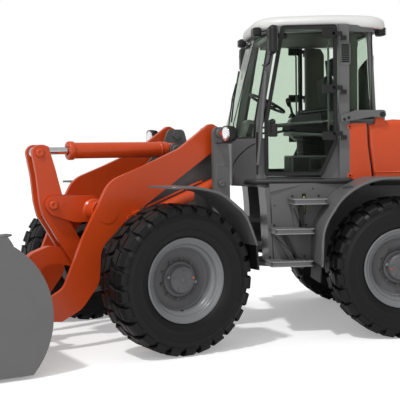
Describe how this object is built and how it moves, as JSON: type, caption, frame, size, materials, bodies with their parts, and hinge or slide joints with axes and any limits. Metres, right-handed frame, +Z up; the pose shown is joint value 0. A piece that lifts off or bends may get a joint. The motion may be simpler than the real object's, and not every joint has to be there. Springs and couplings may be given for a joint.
{
  "type": "wheel loader",
  "caption": "Articulated wheel loader, steered left, with a glazed cab, Z-bar linkage, quick coupler and general-purpose bucket; steering, lift, tilt, doors, hood and wheels move",
  "frame": {"origin": "on the ground under the middle of the resting bounding box", "axes": "+X forwards along the rear frame, +Y to the machine's left, +Z up"},
  "size_m": [6.3754, 3.745, 2.9492],
  "materials": {
    "body_orange": "semi-gloss orange-red machine enamel",
    "machine_grey": "satin mid grey machine enamel",
    "axle_grey": "painted casting, dark grey",
    "engine_grey": "matt grey engine enamel",
    "door_black": "satin black",
    "roof_white": "semi-gloss off-white",
    "window_glass": "clear, slightly green",
    "stack_grey": "heat-dulled dark steel",
    "trim_black": "matt moulded black",
    "console_grey": "matt grey plastic",
    "rubber_black": "matt",
    "seat_fabric": "woven, dark",
    "bucket_grey": "semi-matt grey",
    "rod_chrome": "polished",
    "tyre_rubber": "matt tread rubber",
    "rim_grey": "satin light grey"
  },
  "bodies": {
    "rear_frame": {"rear_chassis": "machine_grey", "rear_axle": "axle_grey", "engine_block": "engine_grey", "counterweight": "machine_grey", "radiator_housing": "body_orange", "radiator_grille": "trim_black", "hood_arms": "machine_grey", "hood_side_panels": "body_orange", "exhaust_stack": "stack_grey", "tank_l": "machine_grey", "tank_r": "machine_grey", "rear_fenders": "machine_grey", "cab_frame": "machine_grey", "cab_roof": "roof_white", "cab_glass": "window_glass", "seat": "seat_fabric", "seat_base": "rubber_black", "steering_column": "trim_black", "control_console": "console_grey", "mirrors": "trim_black", "work_lamps": "trim_black", "grab_rails": "machine_grey"},
    "front_frame": {"front_chassis": "machine_grey", "front_axle": "axle_grey", "front_fenders": "machine_grey", "headlamps": "trim_black"},
    "lift_arm_pair": {"lift_arms": "body_orange"},
    "crank": {"bell_crank": "body_orange"},
    "link": {"bucket_link": "body_orange"},
    "bucket_and_coupler": {"coupler": "bucket_grey", "bucket": "bucket_grey"},
    "tilt_barrel_body": {"tilt_barrel": "body_orange"},
    "tilt_rod_body": {"tilt_rod": "rod_chrome"},
    "lift_barrel_left": {"lift_barrel_l": "body_orange"},
    "lift_rod_left": {"lift_rod_l": "rod_chrome"},
    "lift_barrel_right": {"lift_barrel_r": "body_orange"},
    "lift_rod_right": {"lift_rod_r": "rod_chrome"},
    "steer_barrel_left": {"steer_barrel_l": "machine_grey"},
    "steer_rod_left": {"steer_rod_l": "rod_chrome"},
    "steer_barrel_right": {"steer_barrel_r": "machine_grey"},
    "steer_rod_right": {"steer_rod_r": "rod_chrome"},
    "door_left": {"door_l": "door_black", "door_glass_l": "window_glass"},
    "door_right": {"door_r": "door_black", "door_glass_r": "window_glass"},
    "hood_lid": {"hood": "body_orange"},
    "wheel_fl": {"tyre_fl": "tyre_rubber", "rim_fl": "rim_grey"},
    "wheel_fr": {"tyre_fr": "tyre_rubber", "rim_fr": "rim_grey"},
    "wheel_rl": {"tyre_rl": "tyre_rubber", "rim_rl": "rim_grey"},
    "wheel_rr": {"tyre_rr": "tyre_rubber", "rim_rr": "rim_grey"}
  },
  "joints": [
    {"name": "steering", "type": "hinge", "parent": "rear_frame", "child": "front_frame", "pos_m": [-0.488, -0.658, 0.7725], "axis": [0, 0, 1], "range_deg": [-64, 16]},
    {"name": "lift", "type": "hinge", "parent": "front_frame", "child": "lift_arm_pair", "pos_m": [0.02359, -0.43023, 1.85], "axis": [0.4067, -0.9135, 0], "range_deg": [0, 84]},
    {"name": "tilt", "type": "hinge", "parent": "lift_arm_pair", "child": "crank", "pos_m": [1.3665, 0.16768, 1.233], "axis": [0.4067, -0.9135, 0], "range_deg": [-12, 12]},
    {"name": "link_pin", "type": "hinge", "parent": "crank", "child": "link", "pos_m": [1.13811, 0.06599, 0.74], "axis": [0.4067, -0.9135, 0], "range_deg": [-4.9, 4.9]},
    {"name": "bucket_pin", "type": "hinge", "parent": "lift_arm_pair", "child": "bucket_and_coupler", "pos_m": [1.59488, 0.26936, 0.37], "axis": [-0.4067, 0.9135, 0], "range_deg": [-41.3, 41.3]},
    {"name": "tilt_barrel_pin", "type": "hinge", "parent": "front_frame", "child": "tilt_barrel_body", "pos_m": [0.22457, -0.34075, 1.708], "axis": [0.4067, -0.9135, 0], "range_deg": [-0.5, 87.74]},
    {"name": "tilt_rod_slide", "type": "slide", "parent": "tilt_barrel_body", "child": "tilt_rod_body", "axis": [0.9135, 0.4067, 0], "range_m": [-0.004, 0.3439]},
    {"name": "lift_barrel_left_pin", "type": "hinge", "parent": "front_frame", "child": "lift_barrel_left", "pos_m": [-0.16095, -0.05264, 1.389], "axis": [0.4067, -0.9135, 0], "range_deg": [-0.5, 75.41]},
    {"name": "lift_rod_left_slide", "type": "slide", "parent": "lift_barrel_left", "child": "lift_rod_left", "axis": [0.8535, 0.38, -0.3566], "range_m": [-0.004, 0.5915]},
    {"name": "lift_barrel_right_pin", "type": "hinge", "parent": "front_frame", "child": "lift_barrel_right", "pos_m": [0.18071, -0.82002, 1.389], "axis": [0.4067, -0.9135, 0], "range_deg": [-0.5, 75.41]},
    {"name": "lift_rod_right_slide", "type": "slide", "parent": "lift_barrel_right", "child": "lift_rod_right", "axis": [0.8535, 0.38, -0.3566], "range_m": [-0.004, 0.5915]},
    {"name": "steer_barrel_left_pin", "type": "hinge", "parent": "rear_frame", "child": "steer_barrel_left", "pos_m": [-0.988, -0.443, 0.77], "axis": [0, 0, 1], "range_deg": [-24.18, 6.42]},
    {"name": "steer_rod_left_slide", "type": "slide", "parent": "steer_barrel_left", "child": "steer_rod_left", "axis": [0.9888, 0.149, 0], "range_m": [-0.0626, 0.2386]},
    {"name": "steer_barrel_right_pin", "type": "hinge", "parent": "rear_frame", "child": "steer_barrel_right", "pos_m": [-0.988, -0.873, 0.77], "axis": [0, 0, 1], "range_deg": [-24.18, 6.42]},
    {"name": "steer_rod_right_slide", "type": "slide", "parent": "steer_barrel_right", "child": "steer_rod_right", "axis": [0.9869, 0.1611, 0], "range_m": [-0.2386, 0.0626]},
    {"name": "door_left_hinge", "type": "hinge", "parent": "rear_frame", "child": "door_left", "pos_m": [-1.3, 0.125, 1.9], "axis": [0, 0, 1], "range_deg": [0, 85]},
    {"name": "door_right_hinge", "type": "hinge", "parent": "rear_frame", "child": "door_right", "pos_m": [-1.3, -1.441, 1.9], "axis": [0, 0, -1], "range_deg": [0, 85]},
    {"name": "hood_hinge", "type": "hinge", "parent": "rear_frame", "child": "hood_lid", "pos_m": [-1.693, -0.658, 2.005], "axis": [0, 1, 0], "range_deg": [0, 50]},
    {"name": "wheel_fl_spin", "type": "hinge", "parent": "front_frame", "child": "wheel_fl", "pos_m": [0.27003, 0.77413, 0.627], "axis": [-0.4067, 0.9135, 0], "continuous": true},
    {"name": "wheel_fr_spin", "type": "hinge", "parent": "front_frame", "child": "wheel_fr", "pos_m": [1.08351, -1.05296, 0.627], "axis": [-0.4067, 0.9135, 0], "continuous": true},
    {"name": "wheel_rl_spin", "type": "hinge", "parent": "rear_frame", "child": "wheel_rl", "pos_m": [-1.763, 0.342, 0.627], "axis": [0, 1, 0], "continuous": true},
    {"name": "wheel_rr_spin", "type": "hinge", "parent": "rear_frame", "child": "wheel_rr", "pos_m": [-1.763, -1.658, 0.627], "axis": [0, 1, 0], "continuous": true}
  ],
  "couplings": [
    {"joint": "link_pin", "follows": "tilt", "ratio": -0.367},
    {"joint": "bucket_pin", "follows": "tilt", "ratio": 3.4},
    {"joint": "tilt_barrel_pin", "follows": "lift", "ratio": 1.0386},
    {"joint": "tilt_rod_slide", "follows": "lift", "m_per_rad": 0.23183},
    {"joint": "lift_barrel_left_pin", "follows": "lift", "ratio": 0.8917},
    {"joint": "lift_rod_left_slide", "follows": "lift", "m_per_rad": 0.40071},
    {"joint": "lift_barrel_right_pin", "follows": "lift", "ratio": 0.8917},
    {"joint": "lift_rod_right_slide", "follows": "lift", "m_per_rad": 0.40071},
    {"joint": "steer_barrel_left_pin", "follows": "steering", "ratio": 0.37},
    {"joint": "steer_rod_left_slide", "follows": "steering", "m_per_rad": -0.21},
    {"joint": "steer_barrel_right_pin", "follows": "steering", "ratio": 0.37},
    {"joint": "steer_rod_right_slide", "follows": "steering", "m_per_rad": 0.21}
  ]
}
